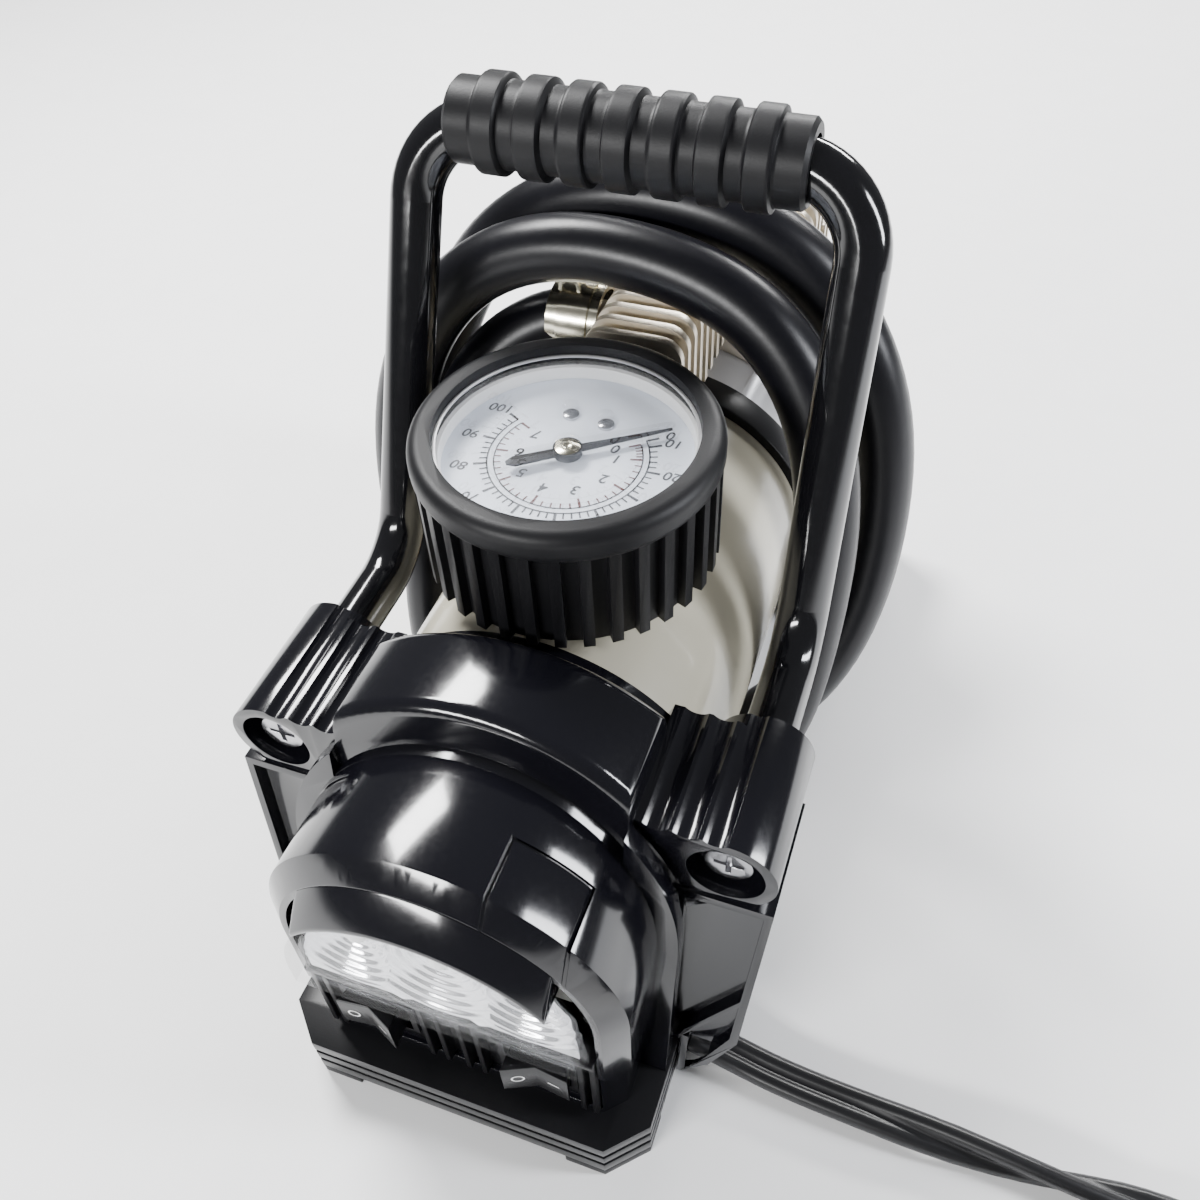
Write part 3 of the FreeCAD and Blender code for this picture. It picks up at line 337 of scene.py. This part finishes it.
def make_hose():
    start, end = 0.25, 2.22
    count = round((end - start) * HOSE_STEPS)
    turns = [hose_turn_point(start + (end - start) * i / count) for i in range(count + 1)]
    points = [at(*p) for p in HOSE_LEAD + turns + HOSE_TAIL]
    hose = nurbs("air_hose", points, 0.007)
    adopt(hose, "housing", "hose")
    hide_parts("air_hose_lead", "air_hose_coil", "air_hose_tail")


CORD_RUN = [(42.6, 32.0, 7.6), (52.0, 31.6, 5.0), (64.0, 30.0, 4.2), (86.0, 28.9, 4.2),
            (116.0, 28.2, 4.2), (144.0, 29.6, 4.2), (166.0, 25.0, 4.2), (182.0, 14.0, 4.2)]
CORD_END = [(206.0, -44.0, 30.0), (206.0, -58.0, 34.0), (201.0, -72.0, 38.5), (193.0, -79.0, 42.0),
            (184.5, -80.0, 43.0)]
CORD_CENTRE = (163.0, -36.0)
CORD_RINGS = (52.0, 44.0, 36.0)
CORD_LAYER = 8.0


def cord_turns():
    """Layers of turns, wound inward and then outward, clockwise seen from above."""
    steps, points, clock = 16, [], 45.0
    plan = []
    for layer in range(3):
        rings = CORD_RINGS if layer % 2 == 0 else CORD_RINGS[::-1]
        plan += [(layer, ring) for ring in rings]
    plan.append((3, CORD_RINGS[2]))
    for index, (layer, ring) in enumerate(plan):
        after = plan[min(index + 1, len(plan) - 1)]
        for i in range(steps):
            blend = max(0.0, (i - 12) / 4.0)
            radius = ring + (after[1] - ring) * blend
            height = 4.2 + CORD_LAYER * (layer + (after[0] - layer) * blend)
            angle = math.radians(clock - 360.0 * i / steps)
            points.append((CORD_CENTRE[0] + radius * math.cos(angle),
                           CORD_CENTRE[1] + radius * math.sin(angle), height))
    return points


def twin_profile():
    """Two strands side by side, joined by a thin web."""
    data = bpy.data.curves.new("twin_profile", "CURVE")
    data.dimensions = "2D"
    spline = data.splines.new("POLY")
    outline = []
    for side in (1, -1):
        for i in range(13):
            angle = math.radians(-150 + 300 * i / 12) + (0 if side > 0 else math.pi)
            outline.append((side * 2.05 + 1.95 * math.cos(angle), 1.95 * math.sin(angle)))
    spline.points.add(len(outline) - 1)
    for slot, (x, y) in zip(spline.points, outline):
        slot.co = (x * MM, y * MM, 0.0, 1.0)
    spline.use_cyclic_u = True
    profile = bpy.data.objects.new("twin_profile", data)
    return profile


def make_power_cord():
    turns = cord_turns()
    points = [at(*p) for p in CORD_RUN + turns + CORD_END]
    half_turn_from, half_turn_to = 3, 5          # the flat cord turns over once on the floor
    tilts = []
    for index in range(len(points)):
        share = min(1.0, max(0.0, (index - half_turn_from) / (half_turn_to - half_turn_from)))
        tilts.append(math.pi * share + 0.35 * max(0, index - len(CORD_RUN)))
    cord = nurbs("power_lead", points, twin_profile(), tilts)
    cord.data.twist_mode = "Z_UP"
    adopt(cord, "housing", "cord")
    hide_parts("power_cord", "power_cord_coil")


# Rounded copies of the moulded and cast parts: the width of each one's rounded edges

SOFTENED = {
    "base_tray": 0.35, "front_shell": 0.15, "rear_shell": 0.45, "lamp_brow": 0.35, "switch_panel": 0.25,
    "pump_switch_rocker": 0.35, "lamp_switch_rocker": 0.35, "motor_rear_cap": 0.4, "cylinder": 0.3,
    "cylinder_head": 0.3, "outlet_manifold": 0.3, "rear_stand": 0.6, "gauge_boot": 0.75,
    "handle_screws": 0.25, "head_screws": 0.3, "crankcase": 0.4, "crankcase_cover": 0.3,
    "motor_housing": 0.3, "rubber_feet": 0.3,
}


# Gauge face

GAUGE = (-1.0, 87.1)
DIAL_Z = 118.0
ZERO_ANGLE = 35.0                  # the zero mark, turned from +X; the scale runs clockwise
ZERO_TO_TEN = 7.0                  # the first ten units are squeezed together
PER_TEN = 26.4
UNIT_ZERO, UNIT_ONE, PER_UNIT = 32.0, 14.0, 37.2
INNER_RING, OUTER_RING = 14.2, 15.5
INK_H = 0.06


def psi_angle(value):
    if value < 10:
        return ZERO_ANGLE - ZERO_TO_TEN * value / 10.0
    return ZERO_ANGLE - ZERO_TO_TEN - PER_TEN * (value - 10) / 10.0


def unit_angle(value):
    if value < 1:
        return UNIT_ZERO + (UNIT_ONE - UNIT_ZERO) * value
    return UNIT_ONE - PER_UNIT * (value - 1)


def on_dial(radius, degrees, lift=0.0):
    angle = math.radians(degrees)
    return at(GAUGE[0] + radius * math.cos(angle), GAUGE[1] + radius * math.sin(angle), DIAL_Z + lift)


def add_tick(verts, faces, degrees, inner, outer, width):
    across = math.degrees(width / 2 / ((inner + outer) / 2))
    base = len(verts)
    for radius in (inner, outer):
        for side in (-1, 1):
            verts.append(on_dial(radius, degrees + side * across, INK_H))
    faces.append((base, base + 1, base + 3, base + 2))


def add_arc(verts, faces, radius, width, first, last):
    steps = 90
    base = len(verts)
    for i in range(steps + 1):
        degrees = first + (last - first) * i / steps
        for edge in (radius - width / 2, radius + width / 2):
            verts.append(on_dial(edge, degrees, INK_H))
    for i in range(steps):
        a = base + 2 * i
        faces.append((a, a + 1, a + 3, a + 2))


def dial_number(text, radius, degrees, size):
    data = bpy.data.curves.new("dial_number_" + text, "FONT")
    data.body = text
    data.size = size * MM
    data.align_x, data.align_y = "CENTER", "CENTER"
    data.shear = 0.15
    data.offset = 0.00005                     # a little bolder
    label = bpy.data.objects.new("label", data)
    bpy.context.collection.objects.link(label)
    mesh = bpy.data.meshes.new_from_object(label.evaluated_get(bpy.context.evaluated_depsgraph_get()))
    bpy.data.objects.remove(label)
    # the figures stand upright for a reader at the rear
    place = Matrix.Translation(on_dial(radius, degrees, INK_H)) @ Matrix.Rotation(math.pi, 4, "Z")
    mesh.transform(place)
    return mesh


def make_dial():
    verts, faces = [], []
    add_arc(verts, faces, OUTER_RING, 0.30, ZERO_ANGLE, psi_angle(100))
    add_arc(verts, faces, INNER_RING, 0.26, UNIT_ZERO, unit_angle(7))
    for value in range(0, 101, 2):
        long = value % 10 == 0
        if 0 < value < 10:
            continue
        tick, width = (2.6, 0.55) if long else (1.5, 0.32)
        add_tick(verts, faces, psi_angle(value), OUTER_RING, OUTER_RING + tick, width)
    mesh_piece("dial_scale_black", verts, faces, "housing", "dial", black_print, smooth=False)
    verts, faces = [], []
    for fifth in range(0, 36):
        long = fifth % 5 == 0
        tick, width = (2.4, 0.50) if long else (1.3, 0.30)
        add_tick(verts, faces, unit_angle(fifth / 5.0), INNER_RING - tick, INNER_RING, width)
    mesh_piece("dial_scale_red", verts, faces, "housing", "dial", red_print, smooth=False)
    labels = [(str(v), 20.6, psi_angle(v), 3.3) for v in range(0, 101, 10)]
    labels += [(str(v), 9.4, unit_angle(v), 3.4) for v in range(0, 8)]
    for index, (text, radius, degrees, size) in enumerate(labels):
        mesh = dial_number(text, radius, degrees, size)
        mesh.name = "dial_figure_%02d" % index
        piece = bpy.data.objects.new(mesh.name, mesh)
        bpy.context.collection.objects.link(piece)
        adopt(piece, "housing", "dial", black_print)


def make_gauge_trim():
    up = Vector((0, 0, 1))
    bezel = [(117.9, 24.9), (118.3, 24.2), (119.2, 24.0), (120.9, 24.4), (121.05, 25.2)]
    verts, faces = lathe(bezel, at(*GAUGE, 0), up, 96)
    mesh_piece("dial_bezel", verts, faces, "housing", "steel", white_print)
    rim = [(123.15, 24.55), (123.4, 24.5), (123.6, 24.75), (123.6, 25.1), (123.15, 25.15)]
    verts, faces = lathe(rim, at(*GAUGE, 0), up, 96)
    mesh_piece("glass_ring", verts, faces, "housing", "steel", materials["liner"])
    cap = [(0.0, 2.8), (0.35, 2.75), (0.65, 2.3), (0.75, 0.9), (0.62, 0.7), (0.6, 0.0)]
    verts, faces = lathe(cap, at(*GAUGE, DIAL_Z + 2.0), up, 40)
    mesh_piece("needle_cap", verts, faces, "needle", "steel", materials["ferrule"])
    for index, (x, y) in enumerate(((-4.9, 99.1), (2.7, 98.2))):
        head = [(0.0, 1.7), (0.5, 1.65), (0.75, 1.2), (0.78, 0.45), (0.45, 0.4), (0.45, 0.0)]
        verts, faces = lathe(head, at(x, y, DIAL_Z), up, 28)
        mesh_piece("dial_screw_%d" % index, verts, faces, "housing", "steel", materials["screw"])


# Lamp

# across, up, radius
DISHES = ((0.0, 62.0, 15.5), (-LAMP_LED[0], LAMP_LED[1], 12.0), (LAMP_LED[0], LAMP_LED[1], 12.0))
RIPPLE, RIPPLES = 0.26, 44.0             # height of the rings in a dish, and how close they are


def dish_depth(x, z):
    """How far back the reflector's surface is: three rippled dishes that meet."""
    nearest = min(math.hypot(x - cx, (z - cz) * 1.05) / r for cx, cz, r in DISHES)
    nearest = min(nearest, 1.15)
    bowl_depth, front = 4.2, 5.2
    bowl = bowl_depth * (1 - min(1.0, nearest) ** 1.5)
    ripple = RIPPLE * math.sin(nearest * RIPPLES)
    return front + bowl + ripple * (nearest > 0.2)


def make_reflector():
    columns, rows = 250, 160
    half, centre_z, low_z = LENS_ARCH
    verts, faces, index = [], [], {}
    for i in range(columns + 1):
        for j in range(rows + 1):
            x = -half + 2 * half * i / columns
            top = centre_z + math.sqrt(max(0.0, half ** 2 - x ** 2))
            z = low_z + (top - low_z) * j / rows
            index[i, j] = len(verts)
            verts.append(at(x, dish_depth(x, z), z))
    for i in range(columns):
        for j in range(rows):
            faces.append((index[i, j], index[i + 1, j], index[i + 1, j + 1], index[i, j + 1]))
    piece = mesh_piece("lamp_dishes", verts, faces, "housing", "reflector")
    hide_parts("lamp_reflector")
    for number, (x, z, _) in enumerate(DISHES):
        dome = [(0.0, 2.3), (0.7, 2.2), (1.5, 1.6), (1.9, 0.8), (2.0, 0.0)]
        verts, faces = lathe(dome, at(x, 9.4, z), Vector((0, -1, 0)), 28)
        mesh_piece("led_dome_%d" % number, verts, faces, "housing", "board", white_print)


# Handle grip, clip and small marks

def make_grip():
    (x0, y0, z0), (x1, y1, z1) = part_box("handle_grip")
    length = (x1 - x0) / MM
    centre = Vector((x0, (y0 + y1) / 2, (z0 + z1) / 2))
    ribs, groove_r, rib_r = 7, 8.0, 9.3
    rib_half, steepness = 2.5, 11.0
    step = length / (ribs + 1.0)
    profile = [(0.0, 5.35), (0.0, 7.2), (0.8, groove_r)]
    samples = 210
    for i in range(samples + 1):
        along = 1.6 + (length - 3.2) * i / samples
        nearest = min(abs(along - step * (k + 1)) for k in range(ribs))
        swell = 1.0 / (1.0 + math.exp((nearest - rib_half) * steepness))
        profile.append((along, groove_r + (rib_r - groove_r) * swell))
    profile += [(length - 0.8, groove_r), (length, 7.2), (length, 5.35)]
    verts, faces = lathe(profile, centre, Vector((1, 0, 0)), 56)
    grip = mesh_piece("grip_rubber", verts, faces, "housing", "rubber")
    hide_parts("handle_grip")


def make_hose_clip():
    """A spring band around the hose's end with two turned-up ears."""
    origin = at(-14.5, 140, 112)
    band = [(0.0, 7.95), (0.0, 8.6), (7.0, 8.6), (7.0, 7.95)]
    verts, faces = lathe(band, origin, Vector((-1, 0, 0)), 56)
    mesh_piece("clip_band", verts, faces, "housing", "ferrule")
    for number, side in enumerate((-1, 1)):
        centre = at(-18.0 + side * 1.7, 140 + side * 2.4, 121.6)
        verts, faces = [], []
        arch_steps, half_w, tall = 10, 2.6, 4.4
        for k in range(arch_steps + 1):
            angle = math.pi * k / arch_steps
            for depth in (-0.45, 0.45):
                for grow in (0.0, 0.8):
                    verts.append(centre + Vector(((half_w - grow) * math.cos(angle), depth,
                                                  (tall - grow) * math.sin(angle) - 1.6)) * MM)
        for k in range(arch_steps):
            a = 4 * k
            faces += [(a, a + 4, a + 5, a + 1), (a + 1, a + 5, a + 7, a + 3),
                      (a + 3, a + 7, a + 6, a + 2), (a + 2, a + 6, a + 4, a)]
        end = 4 * arch_steps
        faces += [(0, 1, 3, 2), (end, end + 2, end + 3, end + 1)]
        mesh_piece("clip_ear_%d" % number, verts, faces, "housing", "ferrule")


def rocker_mark(name, body, side, offset, ring):
    """A small off circle or on bar, printed on the rocker's face and tilted with it."""
    pivot_x, pivot_y, z = side * ROCKER[0], ROCKER[1], ROCKER[2]
    tilt = math.radians(ROCKER_TILT * side)
    face_y = -ROCKER_FRONT + ROCKER_DISH * (1 - abs(offset) / ROCKER_HALF) - PRINT_LIFT
    verts, faces = [], []
    if ring:
        steps = 24
        for radius in (1.0, 1.35):
            for i in range(steps):
                angle = 2 * math.pi * i / steps
                verts.append((offset + radius * math.cos(angle), radius * math.sin(angle)))
        faces = [(i, (i + 1) % steps, (i + 1) % steps + steps, i + steps) for i in range(steps)]
    else:
        long, thin = 1.2, 0.2
        verts = [(offset - long, -thin), (offset + long, -thin),
                 (offset + long, thin), (offset - long, thin)]
        faces = [(0, 1, 2, 3)]
    slope = ROCKER_DISH / ROCKER_HALF
    placed = []
    for x, up in verts:
        y = face_y - math.copysign(slope, offset) * (x - offset)
        placed.append(at(pivot_x + x * math.cos(tilt) - y * math.sin(tilt),
                         pivot_y + x * math.sin(tilt) + y * math.cos(tilt), z + up))
    mesh_piece(name, placed, faces, body, "tray", white_print, smooth=False)


make_camera()
make_studio()
make_hose()
make_power_cord()
for node, piece in frame["nodes"].items():
    piece.data.materials.clear()
    piece.data.materials.append(materials[node_slot[node]])
for node, width in SOFTENED.items():
    softened(node, width)
make_dial()
make_gauge_trim()
make_reflector()
make_grip()
make_hose_clip()
for switch, side in (("pump", 1), ("lamp", -1)):
    rocker_mark(switch + "_off_mark", switch + "_rocker", side, -3.6, True)
    rocker_mark(switch + "_on_mark", switch + "_rocker", side, 3.6, False)
